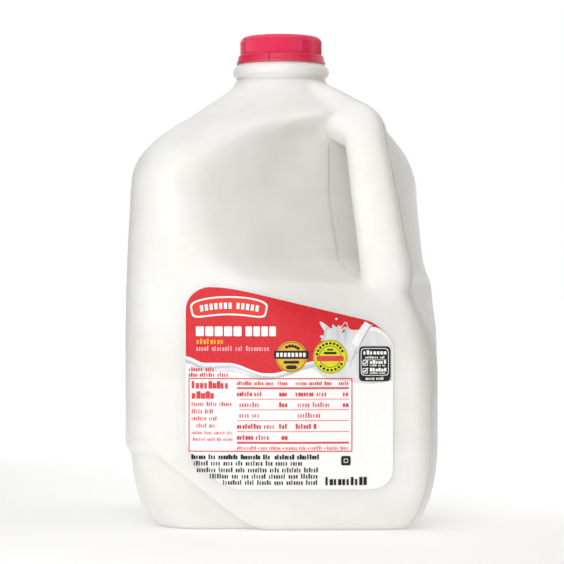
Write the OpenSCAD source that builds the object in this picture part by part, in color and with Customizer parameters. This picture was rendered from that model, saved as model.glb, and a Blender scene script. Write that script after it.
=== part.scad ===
// One gallon milk jug: blow-moulded bottle with an open corner handle, filled and shut,
// its snap cap and the label on one face.
// X points to the handle corner. The moulds part on the XZ plane, so the bottle is its own
// mirror image across it, and the four flat faces stand at 45 degrees to X and Y.

/* [Bottle] */
// Width across two opposite flat faces near the base
body_w = 150; // [120:1:185]
// How far the middle of a full face stands out past its edges
body_bulge = 3.5; // [0:0.5:6]
// How much nearer the axis each face is at the shoulder than near the base
body_lean = 3.5; // [0:0.5:8]
// Height of the root of the neck
shoulder_z = 218; // [185:1:265]
// Slope of the shoulder below horizontal
shoulder_deg = 34; // [26:1:42]
// Radius of the two corners on the mould seam
seam_r = 12; // [6:1:24]
// Radius of the two other corners
side_r = 25; // [10:1:36]

/* [Base] */
// Height over which the walls draw in to the base
foot_h = 43; // [20:1:60]
// How far they draw in
foot_in = 15.5; // [6:0.5:24]
// Height of the stepped-in panel round the back half of the foot
arch_h = 38; // [20:1:50]
// Width of its arched end on each front face
arch_w = 44; // [20:1:60]
// Depth of that panel
arch_depth = 3; // [0:0.5:5]
// Depth of the hollow under the base
base_rise = 4; // [1:0.5:8]

/* [Handle] */
// How far the top of the handle stands in from the corner below it
handle_inset = 30; // [16:1:44]
// Lean of the handle's outer edge from upright
handle_deg = 12; // [4:1:18]
// Handle thickness across its flats
handle_w = 22.6; // [16:0.2:30]
// Handle depth from its outer edge to the finger hole
handle_d = 25; // [18:0.5:32]
// Clear depth of the finger hole
finger_gap = 19; // [14:0.5:26]
// Height of the bottom of the finger hole
hole_z = 132; // [115:1:150]
// Drop of the handle's crest from the neck, below horizontal
crest_deg = 23.6; // [14:0.2:34]

/* [Neck and cap] */
// Radius of the neck at its root
neck_r = 22.9; // [18:0.1:28]
// Radius of the rolled bead below the cap
bead_r = 24.3; // [19:0.1:30]
// Height of the neck
neck_h = 11; // [8:0.5:16]
// Radius of the cap's ribbed wall
cap_r = 20.2; // [16:0.1:26]
// Height of the cap
cap_h = 14.5; // [10:0.5:20]
// Radius of the tear band at its lower edge
band_r = 22.5; // [18:0.1:28]
// Height of the tear band
band_h = 5; // [3:0.5:8]
// Number of places for ribs round the cap
rib_count = 120; // [60:6:144]
// How far a rib stands out
rib_out = 0.45; // [0.2:0.05:0.8]

/* [Label] */
// Width of the label
label_w = 98; // [60:1:110]
// Height of the label at its tall side
label_h = 96; // [50:1:100]
// Height of the label's lower edge
label_z = 20.7; // [14:0.1:40]
// Thickness of the label
label_t = 0.4; // [0.2:0.1:1]

/* [Hidden] */

seam_cols = 72;                     // points round one level of the bottle
half_w = body_w / 2;
corner_x = sqrt(2) * half_w - (sqrt(2) - 1) * seam_r;
grip_top = shoulder_z - 28;         // height where the handle's inset is measured
flare_h = 27;                       // the handle's outer edge runs out to the corner over this height
flare_z = grip_top - 99;
handle_run = tan(handle_deg);
hole_top = shoulder_z - 18;
recess_rise = 8;                    // how the recess's lower and upper edges bend, 80 mm from the seam
recess_fall = 12;
neck_top = shoulder_z + neck_h;
rim_share = 0.86;                   // inner edge of the rim that the jug stands on
hollow_share = 0.70;

// Smooth step from 0 to 1 as t goes from 0 to 1
function step(t) = let (c = max(0, min(1, t))) c * c * (3 - 2 * c);

// The smaller and the larger of two lengths, blended over k where they are close
function smin(a, b, k) = let (h = max(0, min(1, 0.5 + 0.5 * (b - a) / k)))
    b * (1 - h) + a * h - k * h * (1 - h);
function smax(a, b, k) = -smin(-a, -b, k);

// Half the width across flats at height z: the wall alone, then with the shoulder and the neck
function wall_half(z) = let (top = shoulder_z - 36, low = flare_z + 1)
    half_w - body_lean * pow(max(0, min(1.5, (z - low) / (top - low))), 1.6);
function form_half(z) = let (slope = neck_r + (shoulder_z - z) / tan(shoulder_deg))
    smax(smin(wall_half(z), slope, 25), neck_r, 5);
function foot_inset(z) = let (t = max(0, 1 - z / foot_h)) foot_in * (1 - sqrt(1 - t * t));

// The handle's outer edge, in the plane of the seam
function outer_x(z) = let (flare = handle_inset - (grip_top - flare_z) * handle_run)
    corner_x - handle_inset + (grip_top - z) * handle_run + flare * step((flare_z + flare_h - z) / flare_h);

// The wall behind the fingers: its height limits and how far out it stands, at distance ya from the seam
function grip_x(z, ya) = let (
        back = outer_x(grip_top - 30) - handle_d - finger_gap,
        low = hole_z + recess_rise * pow(ya / 80, 2),
        top = hole_top - recess_fall * pow(ya / 80, 2))
    back + 0.22 * max(0, min(58, grip_top - 29 - z))
    + 58 * pow(step((low - z) / 24), 1.5)
    + 68 * pow(step((z - top + 8) / 21), 1.5)
    - 0.0041 * pow(max(0, ya - 24), 2);

// Distance of the plain bottle's wall from the axis, at angle a and height z
function ring_r(a, z) = let (
        k = round(a / 90),
        on_seam = k % 2 == 0,
        h = form_half(z) - foot_inset(z),
        r = min(h, (on_seam ? seam_r : side_r) + wall_half(z) - form_half(z)),
        d = abs(a - 90 * k),
        psi = 45 - d,
        c = sqrt(2) * (h - r),
        flat = h / cos(psi),
        round_off = c * cos(d) + sqrt(max(0, r * r - pow(c * sin(d), 2))),
        full = max(0, min(1, (h - 29) / 44)) * pow(cos(2 * psi), 2)
            * pow(sin(180 * max(0, min(1, (z + 20) / (shoulder_z + 6)))), 0.7))
    (h * tan(abs(psi)) <= h - r ? flat : round_off) + body_bulge * full;

// Depth of the stepped-in foot panel, whose ends are arches on the two front faces
function arch_inset(a, z) = let (
        off = abs(a - 90 * round(a / 90)),
        front = a < 90 || a > 270,
        side = round(a / 90) % 2 == 1,
        e = sqrt(2) * ring_r(a, z) * sin(off) - 0.35 * side_r,
        top = arch_h * (front ? (side ? 1 - pow(max(0, min(1.2, e / arch_w)), 1.4) : -1) : 1),
        deeper = front && side ? 1 + max(0, min(1, e / arch_w)) : 1)
    arch_depth * deeper * step((top - z) / 5 + 0.5);

// A point of the bottle at angle a and height z, pressed in behind the handle
function flat_edge_z(v) = flare_z - 2 + 22 * (1 - pow(max(0, min(1.1, (v + 44) / 118)), 2));
function pressed(f, other, z) = let (
        full = form_half(z) + body_bulge,
        deep = max(0, min(18, full - outer_x(z) / sqrt(2) - 2.9)))
    f - deep * pow(max(0, f / full), 4) * step((other + 20) / 68) * step((z - flat_edge_z(other) + 3) / 12);
function shell_point(a, z) = let (
        r = ring_r(a, z) - arch_inset(a, z),
        u = r * cos(a + 45),
        v = r * sin(a + 45),
        pu = pressed(u, v, z),
        pv = pressed(v, u, z),
        x = (pu + pv) / sqrt(2),
        y = (pv - pu) / sqrt(2),
        grip = smin(grip_x(z, abs(y)), outer_x(z), 4),
        round_k = 6 + 5 * step((z - hole_top + 14) / 10))
    [x > 0 ? smin(x, grip, round_k) : x, y, z];

// The edges of the finger recess bend away from level with the distance from the seam, so the
// levels near them bend the same way
function near(z, at, reach) = max(0, 1 - abs(z - at) / reach);
function bent_z(a, z) = let (q = pow(ring_r(a, z) * sin(a) / 80, 2))
    z + q * (recess_rise * near(z, hole_z - 10, 36) - recess_fall * near(z, hole_top, 30));
function grid_point(a, z) = shell_point(a, bent_z(a, z));

// Levels of the bottle: close together where the wall turns, wide apart where it runs straight
function steps(from, to, n) = [for (i = [1:n]) from + (to - from) * i / n];
levels = concat(
    [for (i = [0:6]) foot_h * (1 - cos(90 * i / 6))],
    steps(foot_h, hole_z - 24, 4),
    steps(hole_z - 24, hole_z, 8),
    steps(hole_z, hole_top - 12, 5),
    steps(hole_top - 12, hole_top + 14, 17),
    steps(hole_top + 14, shoulder_z + 3, 3));

// Angles round a level: close together at the corners
function col_angle(i) = let (t = 360 * i / seam_cols) t - 0.6 * sin(4 * t) * 45 / PI;

// A closed skin through a list of equal loops of points, its second half mirroring its first.
// From loop number turn on, its quads are split along their other diagonal
module skin(loops, turn = 1000) {
    n = len(loops[0]);
    m = len(loops);
    polyhedron(
        points = [for (l = loops) for (p = l) p],
        faces = concat(
            [[for (i = [0:n - 1]) i]],
            [for (j = [0:m - 2]) for (i = [0:n - 1]) let (
                a = j * n + i, b = a + n, d = j * n + (i + 1) % n, c = d + n)
                each ((i < n / 2) == (j < turn) ? [[a, b, c], [a, c, d]] : [[a, b, d], [b, c, d]])],
            [[for (i = [n - 1:-1:0]) (m - 1) * n + i]]),
        convexity = 6);
}

// The hollow's outline under the base, as a share of the bottle's lowest level
function hollow_edge(share, z) = [for (i = [0:seam_cols - 1]) let (a = col_angle(i), r = share * ring_r(a, 0))
    [r * cos(a), r * sin(a), z]];

// The bottle without its handle, hollowed a little under its base
module bottle() {
    skin(concat(
        [hollow_edge(hollow_share, base_rise), hollow_edge(rim_share, 0)],
        [for (z = levels) [for (i = [0:seam_cols - 1]) grid_point(col_angle(i), z)]]),
        turn = 2 + len([for (z = levels) if (z < hole_z + 20) z]));
}

// The handle's centre line: along the crest from the neck, round a bend, then down the column
lean_dir = [sin(handle_deg), -cos(handle_deg)];
crest_dir = [cos(crest_deg), -sin(crest_deg)];
axis_in = handle_d / 2 + 0.3;       // from the handle's outer edge to its centre line
bend_r = 6;
bend_turn = 90 - crest_deg - handle_deg;
crest_at = [neck_r, shoulder_z + 3.6] - axis_in * [sin(crest_deg), cos(crest_deg)];
column_at = [outer_x(grip_top), grip_top] - axis_in * [cos(handle_deg), sin(handle_deg)];
function cross2(a, b) = a.x * b.y - a.y * b.x;
meet = crest_at + crest_dir * cross2(column_at - crest_at, lean_dir) / cross2(crest_dir, lean_dir);
bend_start = meet - crest_dir * bend_r * tan(bend_turn / 2);
bend_centre = bend_start - bend_r * [sin(crest_deg), cos(crest_deg)];
handle_foot_z = hole_z - 28;
column_start = bend_centre + bend_r * [cos(handle_deg), sin(handle_deg)];
column_len = (column_start.y - handle_foot_z) / cos(handle_deg);

// [x, z, direction below horizontal] of each section of the handle
handle_line = concat(
    [for (i = [0:4]) let (p = bend_start - crest_dir * 9 * (4 - i)) [p.x, p.y - 0.5 * pow(4 - i, 2), crest_deg]],
    [for (i = [1:4]) let (t = crest_deg + bend_turn * i / 4,
        p = bend_centre + bend_r * [sin(t), cos(t)]) [p.x, p.y, t]],
    [for (i = [1:8]) let (p = column_start + lean_dir * column_len * i / 8)
        [p.x - 6 * step((hole_z - 8 - p.y) / 20), p.y, 90 - handle_deg]]);

// Section of the handle at height z: squarer towards the seam, rounder towards the hole
function handle_r(t, z) = let (
        half = handle_w / 2 * (1 - 0.12 * step((z - grip_top + 40) / 40) + 0.10 * step((grip_top - 40 - z) / 30)),
        n = 2.6 + 3.4 * (0.5 + 0.5 * cos(t)))
    half / pow(pow(abs(cos(t - 45)), n) + pow(abs(sin(t - 45)), n), 1 / n);

function handle_loop(s) = [for (i = [0:23]) let (t = 15 * i, r = handle_r(t, s[1]))
    [s[0] + r * cos(t) * sin(s[2]), r * sin(t), s[1] + r * cos(t) * cos(s[2])]];

module handle() {
    loops = [for (s = handle_line) handle_loop(s)];
    for (i = [0:len(loops) - 2]) hull() skin([loops[i], loops[i + 1]]);
}

// Neck with its rolled bead, up to the seat of the cap
module neck() {
    rotate_extrude($fn = 72) polygon(concat(
        [[0, shoulder_z - 4], [neck_r - 0.7, shoulder_z - 4], [neck_r - 0.7, shoulder_z + 4.2]],
        [for (i = [-3:3]) [bead_r - 1.9 + 1.9 * cos(26 * i), shoulder_z + 7.3 + 2.6 * sin(26 * i)]],
        [[cap_r + 1, neck_top], [0, neck_top]]));
}

module jug() {
    color("#f4f3ee") union() {
        bottle();
        handle();
        neck();
    }
}

// Ribs stand in two long groups on each side of the cap, with smooth stretches between
function ribbed(i) = let (t = (i * 360 / rib_count) % 120) t > 14 && t < 106;

module cap() {
    wall_h = cap_h - band_h;
    pitch = 360 / rib_count;
    color("#e23159") translate([0, 0, neck_top]) difference() {
        union() {
            rotate_extrude($fn = 96) polygon(concat(
                [[0, 0], [band_r, 0], [band_r, 1.2], [band_r - 0.7, band_h - 0.8], [cap_r, band_h]],
                [for (i = [0:6]) [cap_r - 2.4 + 2.4 * cos(15 * i), cap_h - 2.8 + 2.4 * sin(15 * i)]],
                [[0, cap_h]]));
            translate([0, 0, band_h - 0.4]) linear_extrude(wall_h - 2.6) polygon(
                [for (i = [0:rib_count - 1]) let (out = ribbed(i) ? rib_out : 0.02)
                    for (s = [[-0.28, 0.02], [-0.14, out], [0.14, out], [0.28, 0.02]])
                        let (t = (i + s[0]) * pitch, r = cap_r + s[1]) [r * cos(t), r * sin(t)]]);
        }
        rotate(-52) translate([band_r - 1.1, -0.5, 1]) cube([3, 1, band_h]);
    }
}

// Outward place of a face point that lies v to the side of the face's middle at height z
function face_u(v, z) = let (
        first = atan2(v, form_half(z)),
        second = asin(v / ring_r(first + 45, z)),
        third = asin(v / ring_r(second + 45, z)))
    ring_r(third + 45, z) * cos(third);

// The label's outline: left and right edges at height h above its lower edge
label_v = 4;                        // middle of the label, to the right of the face's middle
cut = [25, 24];                     // width and height of the cut lower left corner
corner_r = 9.5;
top_left = [9, 11];
top_drop = 0.252;                   // fall of the upper edge for each mm to the right
top_flat = 17.3;                    // where that fall starts, from the left edge
label_left = label_v - label_w / 2;
function label_l(h) = label_left
    + (h < cut.y ? cut.x * (1 - pow(1 - pow(1 - h / cut.y, 1.5), 1 / 1.5)) : 0)
    + (h > label_h - top_left.y ? top_left.x
        * (1 - sqrt(max(0, 1 - pow((h - label_h + top_left.y) / top_left.y, 2)))) : 0);
function label_r(h) = min(label_left + top_flat + (label_h - h) / top_drop,
    label_left + label_w - (h < corner_r ? corner_r - sqrt(pow(corner_r, 2) - pow(corner_r - h, 2)) : 0));

// A point of the label on the face between the handle corner and the right-hand corner
function label_point(v, z, out) = let (u = face_u(v, z) + out)
    [(u + v) / sqrt(2), (v - u) / sqrt(2), z];

module label() {
    rows = 18;
    cols = 8;
    heights = [for (j = [0:rows]) label_h * (1 - cos(180 * j / rows)) / 2];
    function line(h, out) = [for (i = [0:cols])
        label_point(label_l(h) + (label_r(h) - label_l(h)) * i / cols, label_z + h, out)];
    color("#fbfbfa") skin([for (h = heights)
        concat(line(h, label_t), [for (i = [cols:-1:0]) line(h, 0)[i]])]);
}

jug();
cap();
label();
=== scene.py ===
"""A filled one gallon milk jug: blow-moulded bottle, ribbed snap cap and printed film label.

Every surface is a function of two parameters, worked out as whole arrays in millimetres and put into a
mesh in metres. +X points to the handle corner, +Z up the neck, and the label face looks along (+X, -Y).
"""

import logging
import math
from dataclasses import dataclass, field, replace
from enum import Enum
from typing import Any, Sequence

import bpy
import numpy as np
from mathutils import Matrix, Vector


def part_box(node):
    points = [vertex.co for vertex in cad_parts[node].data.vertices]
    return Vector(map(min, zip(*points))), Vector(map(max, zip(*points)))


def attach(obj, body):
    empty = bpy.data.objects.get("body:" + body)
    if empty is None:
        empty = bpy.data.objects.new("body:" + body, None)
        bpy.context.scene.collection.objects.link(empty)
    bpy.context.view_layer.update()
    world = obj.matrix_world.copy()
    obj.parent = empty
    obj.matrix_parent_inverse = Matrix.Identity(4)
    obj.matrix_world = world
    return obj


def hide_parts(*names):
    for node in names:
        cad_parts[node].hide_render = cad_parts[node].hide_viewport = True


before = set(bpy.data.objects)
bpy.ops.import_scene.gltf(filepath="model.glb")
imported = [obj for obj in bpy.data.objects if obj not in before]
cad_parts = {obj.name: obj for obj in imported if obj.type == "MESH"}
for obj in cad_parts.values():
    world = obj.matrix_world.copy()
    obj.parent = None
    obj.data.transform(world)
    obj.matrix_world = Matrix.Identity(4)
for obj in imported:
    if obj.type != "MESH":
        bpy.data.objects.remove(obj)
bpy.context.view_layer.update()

log = logging.getLogger("jug")

MM = 0.001
ROOT = "root"
ROOT2 = math.sqrt(2.0)
QUARTER = math.pi / 2.0
SEAM_R = 12.0
NECK_H = 11.0
FILL_BELOW_SHOULDER = 3.0
Array = np.ndarray


# ---------------------------------------------------------------- numbers and curves


def soft_step(t: Array | float) -> Array:
    """Smooth step: 3t^2 - 2t^3 with t held between 0 and 1."""
    t = np.clip(t, 0.0, 1.0)
    return t * t * (3.0 - 2.0 * t)


def soft_min(a: Array, b: Array, k: Array | float) -> Array:
    """Smaller of two lengths, blended by a parabola where they are within k of each other.

    Args:
        a: first lengths.
        b: second lengths.
        k: width of the blend.

    Returns:
        The blended lengths.
    """
    h = np.clip(0.5 + 0.5 * (b - a) / k, 0.0, 1.0)
    return b * (1.0 - h) + a * h - k * h * (1.0 - h)


def soft_max(a: Array, b: Array, k: float) -> Array:
    """Larger of two lengths, blended over k."""
    return -soft_min(-a, -b, k)


def linear(code: str) -> tuple[float, float, float, float]:
    """Linear RGBA of an sRGB hex colour such as "#f4f3ee"."""
    parts = [int(code[i:i + 2], 16) / 255.0 for i in (1, 3, 5)]
    red, green, blue = (c / 12.92 if c <= 0.04045 else ((c + 0.055) / 1.055) ** 2.4 for c in parts)
    return red, green, blue, 1.0


def from_face(u: Array, v: Array) -> tuple[Array, Array]:
    """X and Y of a place u outward from the axis through the label face and v sideways along it."""
    return (u + v) / ROOT2, (v - u) / ROOT2


def to_face(x: Array, y: Array) -> tuple[Array, Array]:
    """Outward and sideways distance on the label face of a place given by X and Y."""
    return (x - y) / ROOT2, (x + y) / ROOT2


def spun(radius: Array, z: Array, a: Array) -> Array:
    """Grid of points with a radius and a height for each row and an angle for each column."""
    return np.stack([radius * np.cos(a), radius * np.sin(a), z + 0.0 * a], axis=-1)


# ---------------------------------------------------------------- meshes


def placed(name: str, data: Any) -> bpy.types.Object:
    """Makes an object of a mesh, a light or a camera, and puts it in the scene."""
    made = bpy.data.objects.new(name, data)
    bpy.context.scene.collection.objects.link(made)
    return made


def shade_smooth(mesh: bpy.types.Mesh) -> None:
    """Has all faces of a mesh shaded smooth."""
    mesh.polygons.foreach_set("use_smooth", np.full(len(mesh.polygons), True))
    mesh.update()


@dataclass
class Patchwork:
    """Collects grids of points and the faces between them, to make one mesh of them."""

    points: list[Array] = field(default_factory=list)
    faces: list[Array] = field(default_factory=list)
    count: int = 0

    def grid(self, points: Array, around: bool = False, flip: bool = False) -> Array:
        """Adds a grid of points with a quad in each cell.

        Args:
            points: array of rows, columns and XYZ.
            around: whether the last column joins the first.
            flip: whether the faces look the other way.

        Returns:
            The numbers of the points, as rows and columns.
        """
        rows, cols = points.shape[:2]
        ids = self.count + np.arange(rows * cols).reshape(rows, cols)
        right = np.roll(ids, -1, axis=1) if around else ids[:, 1:]
        left = ids if around else ids[:, :-1]
        quads = np.stack([left[:-1], right[:-1], right[1:], left[1:]], axis=-1).reshape(-1, 4)
        self.points.append(points.reshape(-1, 3))
        self.faces.append(quads[:, ::-1] if flip else quads)
        self.count += rows * cols
        return ids

    def fan(self, ring: Array, centre: Sequence[float]) -> None:
        """Closes a ring of points with triangles to a centre point, counter-clockwise as given."""
        tip = np.full(len(ring), self.count)
        self.points.append(np.asarray(centre, float).reshape(1, 3))
        self.faces.append(np.stack([ring, np.roll(ring, -1), tip], axis=-1))
        self.count += 1

    def tube(self, rings: Array, first: Sequence[float], last: Sequence[float], flip: bool = False) -> None:
        """Adds a row of rings as a tube that is closed at both ends.

        Args:
            rings: array of rings, points round each, and XYZ.
            first: centre point that closes the first ring.
            last: centre point that closes the last ring.
            flip: whether the faces look the other way.
        """
        ids = self.grid(rings, around=True, flip=flip)
        way = 1 if flip else -1
        self.fan(ids[0][::way], first)
        self.fan(ids[-1][::-way], last)

    def sheet_rim(self, front: Array, back: Array) -> None:
        """Joins the border of a front grid to that of a back grid of the same size."""
        def border(ids: Array) -> Array:
            """Border points of a grid in order."""
            return np.concatenate([ids[0, :-1], ids[:-1, -1], ids[-1, :0:-1], ids[:0:-1, 0]])
        a, b = border(front), border(back)
        self.faces.append(np.stack([a, b, np.roll(b, -1), np.roll(a, -1)], axis=-1))

    def piece(self, name: str) -> bpy.types.Object:
        """Makes the piece at the origin, with its points turned from millimetres to metres."""
        mesh = bpy.data.meshes.new(name)
        faces = [f for block in self.faces for f in block.tolist()]
        mesh.from_pydata((np.concatenate(self.points) * MM).tolist(), [], faces)
        shade_smooth(mesh)
        return placed(name, mesh)


def dress(piece: bpy.types.Object, material: bpy.types.Material, slot: str, *nodes: str) -> None:
    """Gives a piece its material and its body, and hides the CAD nodes that it stands for.

    Args:
        piece: the object.
        material: its material.
        slot: not used.
        nodes: names of CAD nodes that the piece replaces.
    """
    piece.data.materials.clear()
    piece.data.materials.append(material)
    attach(piece, ROOT)
    if nodes:
        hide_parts(*nodes)
    log.info("%s: %d faces", piece.name, len(piece.data.polygons))


# ---------------------------------------------------------------- finishes


class Shader:
    """A material's node tree while it is built, from Object coordinates to one principled surface."""

    def __init__(self, name: str) -> None:
        """Makes the empty material, its output and its place node."""
        self.material = bpy.data.materials.new(name)
        self.material.use_nodes = True
        self.tree = self.material.node_tree
        self.tree.nodes.clear()
        self.out = self.node("ShaderNodeOutputMaterial")
        self.place = self.node("ShaderNodeTexCoord").outputs["Object"]

    def node(self, kind: str, links: dict[Any, Any] | None = None, **settings: Any) -> Any:
        """Adds a shader node, sets it and links its inputs.

        Args:
            kind: the node's type.
            links: input name or number to an output socket, or to a plain value.
            settings: attributes of the node.

        Returns:
            The node.
        """
        made = self.tree.nodes.new(kind)
        for key, value in settings.items():
            setattr(made, key, value)
        for key, value in (links or {}).items():
            if isinstance(value, bpy.types.NodeSocket):
                self.tree.links.new(value, made.inputs[key])
            else:
                made.inputs[key].default_value = value
        return made

    def height(self) -> Any:
        """Height in the object's frame, in metres."""
        return self.node("ShaderNodeSeparateXYZ", {0: self.place}).outputs["Z"]

    def noise(self, size_mm: float, detail: float, rough: float = 0.5, place: Any = None) -> Any:
        """Noise from 0 to 1 whose lumps are size_mm across, over the piece or over another place."""
        return self.node("ShaderNodeTexNoise", {
            "Vector": self.place if place is None else place, "Scale": 1.0 / (size_mm * MM),
            "Detail": detail, "Roughness": rough}).outputs["Fac"]

    def ranged(self, value: Any, low: float, high: float, start: float = 0.0, end: float = 1.0) -> Any:
        """A value taken from the range start to end onto the range low to high, and held there."""
        return self.node("ShaderNodeMapRange", {
            "Value": value, "From Min": start, "From Max": end, "To Min": low, "To Max": high}).outputs[0]

    def mixed(self, share: Any, first: Any, second: str) -> Any:
        """Colour that goes by a share from the first, a hex code or a socket, to the second."""
        start = linear(first) if isinstance(first, str) else first
        return self.node("ShaderNodeMix", {"Factor": share, 6: start, 7: linear(second)},
                         data_type="RGBA").outputs[2]

    def bump(self, height: Any, strength: float, deep_mm: float, over: Any = None) -> Any:
        """Normal of a relief deep_mm deep, laid over another normal where one is given."""
        links = {"Height": height, "Strength": strength, "Distance": deep_mm * MM}
        if over is not None:
            links["Normal"] = over
        return self.node("ShaderNodeBump", links).outputs[0]

    def surface(self, colour: Any, rough: Any, inputs: dict[str, Any]) -> bpy.types.Material:
        """Ends the tree in a principled shader with these inputs, and gives the material."""
        skin = self.node("ShaderNodeBsdfPrincipled", {"Base Color": colour, "Roughness": rough, **inputs})
        self.tree.links.new(skin.outputs[0], self.out.inputs[0])
        return self.material


@dataclass(frozen=True)
class MilkyPolyethylene:
    """Natural high-density polyethylene with milk behind it, blow-moulded.

    The milk gives a white that light sinks into, the wall a soft satin gloss with the orange-peel grain and
    slow waves of a blown skin. Above the fill line the wall has no milk behind it and is painted a little
    lighter and warmer than the milk, a painted light that lifts the shade under the neck's bead and the cap.
    """

    name: str = "blow_moulded_polyethylene"
    milk: str = "#f0f0ed"
    thin: str = "#e8e7e2"
    headspace_with_painted_light: str = "#f8f6f2"
    fill_z: float = 214.0
    fill_blend: float = 9.0
    mottle_mm: float = 26.0
    wave_mm: float = 34.0
    wave_deep_mm: float = 0.5
    grain_mm: float = 1.5
    grain_deep_mm: float = 0.05
    roughness: float = 0.40
    depth_share: float = 0.5
    depth_mm: float = 10.0

    def material(self) -> bpy.types.Material:
        """Builds the node material."""
        shader = Shader(self.name)
        mottle = shader.noise(self.mottle_mm, 3.0, 0.55)
        body = shader.mixed(shader.ranged(mottle, 0.0, 1.0, 0.35, 0.75), self.milk, self.thin)
        # Share of the headspace colour above the fill line: no milk behind the wall there, and painted
        # lighter than the milk as painted light against the shade of the bead and cap.
        empty = shader.ranged(shader.height(), 0.0, 1.0, (self.fill_z - self.fill_blend) * MM,
                              (self.fill_z + self.fill_blend) * MM)
        slow = shader.bump(shader.noise(self.wave_mm, 1.0), 0.5, self.wave_deep_mm)
        fine = shader.bump(shader.noise(self.grain_mm, 2.0), 0.30, self.grain_deep_mm, slow)
        rough = shader.ranged(mottle, self.roughness - 0.05, self.roughness + 0.07)
        return shader.surface(shader.mixed(empty, body, self.headspace_with_painted_light), rough, {
            "Normal": fine, "IOR": 1.54, "Subsurface Weight": self.depth_share,
            "Subsurface Radius": (1.0, 0.96, 0.9), "Subsurface Scale": self.depth_mm * MM})


@dataclass(frozen=True)
class CapPolyethylene:
    """Low-density polyethylene, injection-moulded and dyed through.

    It has an even colour and a soft waxy gloss. Light comes through the thin lip, which is a pale pink by
    lip_share at lip_z, in metres, and fades out over lip_h, in millimetres.
    """

    name: str
    dye: str
    cloud: str
    lip_z: float
    lip_share: float = 0.0
    lip_h: float = 0.9
    lip: str = "#f0a3b6"
    roughness: float = 0.36
    cloud_mm: float = 7.0
    grain_mm: float = 0.9
    grain_deep_mm: float = 0.03
    depth_mm: float = 1.6

    def material(self) -> bpy.types.Material:
        """Builds the node material."""
        shader = Shader(self.name)
        colour = shader.mixed(shader.noise(self.cloud_mm, 2.0), self.dye, self.cloud)
        thin = shader.ranged(shader.height(), self.lip_share, 0.0, self.lip_z, self.lip_z + self.lip_h * MM)
        grain = shader.noise(self.grain_mm, 2.0)
        rough = shader.ranged(grain, self.roughness - 0.04, self.roughness + 0.06)
        return shader.surface(shader.mixed(thin, colour, self.lip), rough, {
            "Normal": shader.bump(grain, 0.2, self.grain_deep_mm), "IOR": 1.51, "Subsurface Weight": 0.2,
            "Subsurface Radius": (1.0, 0.35, 0.4), "Subsurface Scale": self.depth_mm * MM})


@dataclass(frozen=True)
class InkFinish:
    """Flexographic ink on coated label film: a nearly even solid that a faint mottle breaks up."""

    name: str
    solid: str
    light: str
    mottle_mm: float = 2.5
    stretch: tuple[float, float, float] = (1.0, 1.0, 1.0)

    def material(self) -> bpy.types.Material:
        """Builds the node material."""
        shader = Shader(self.name)
        drawn = shader.node("ShaderNodeMapping", {"Vector": shader.place, "Scale": self.stretch}).outputs[0]
        mottle = shader.noise(self.mottle_mm, 3.0, place=drawn)
        colour = shader.mixed(shader.ranged(mottle, 0.0, 1.0, 0.3, 0.7), self.solid, self.light)
        return shader.surface(colour, shader.ranged(mottle, 0.34, 0.42), {
            "IOR": 1.5, "Specular IOR Level": 0.25})


class Ink(Enum):
    """The label's film and inks, in the order they are laid down."""

    FILM = InkFinish("coated_label_film", "#fdfdfc", "#f9f9f8")
    RED = InkFinish("red_ink", "#d6212c", "#da2c36")
    MILK_GREY = InkFinish("grey_milk_ink", "#eceded", "#cfd2d5", 9.0, (1.0, 1.0, 0.35))
    MILK_SHADE = InkFinish("grey_shade_ink", "#d3d6d9", "#bcc1c6", 5.0)
    WHITE = InkFinish("white_ink", "#fbfbfb", "#f4f4f5")
    BADGE = InkFinish("orange_red_ink", "#e8362a", "#e23c30")
    PINK = InkFinish("pale_pink_ink", "#f6b0b4", "#f2a2a8")
    AMBER = InkFinish("amber_ink", "#f3a51e", "#f0ac2c")
    GOLD = InkFinish("gold_ink", "#e9bd3a", "#dfae30")
    LIME = InkFinish("lime_yellow_ink", "#e2df26", "#d7d61f")
    BLACK = InkFinish("black_ink", "#161616", "#222222")
    LINE_RED = InkFinish("line_red_ink", "#dd3b42", "#e2474d")


# ---------------------------------------------------------------- the bottle's form


class Corner(Enum):
    """Which of the four rounded corners an angle belongs to."""

    SEAM = 0
    SIDE = 1


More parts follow.
